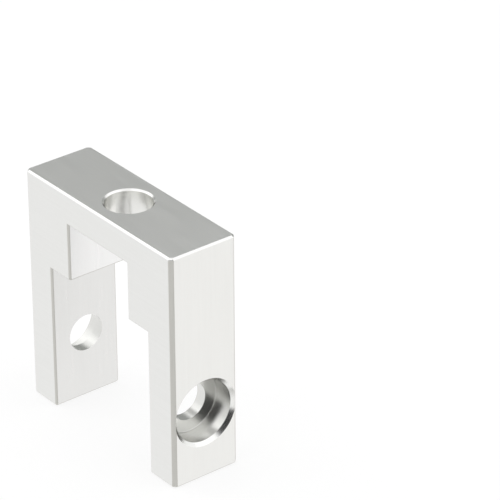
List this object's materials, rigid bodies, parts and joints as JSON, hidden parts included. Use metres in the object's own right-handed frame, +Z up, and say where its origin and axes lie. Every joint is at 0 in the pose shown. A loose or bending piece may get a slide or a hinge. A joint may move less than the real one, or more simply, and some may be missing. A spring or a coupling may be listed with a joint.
{
  "type": "linear guide mounting block",
  "caption": "Stepped U-shaped aluminium block that straddles a linear guide, with a plain bore through the bridge and counterbored screw holes through the legs.",
  "frame": {"origin": "middle of the underside, on the plane of the two feet", "axes": "+Z up from the feet to the bridge, X along the block from leg to leg, Y through its thickness"},
  "size_m": [0.039, 0.013, 0.0423],
  "materials": {
    "machined_aluminium": "fine milled, natural"
  },
  "bodies": {
    "root": {"mounting_block": "machined_aluminium"}
  },
  "joints": []
}
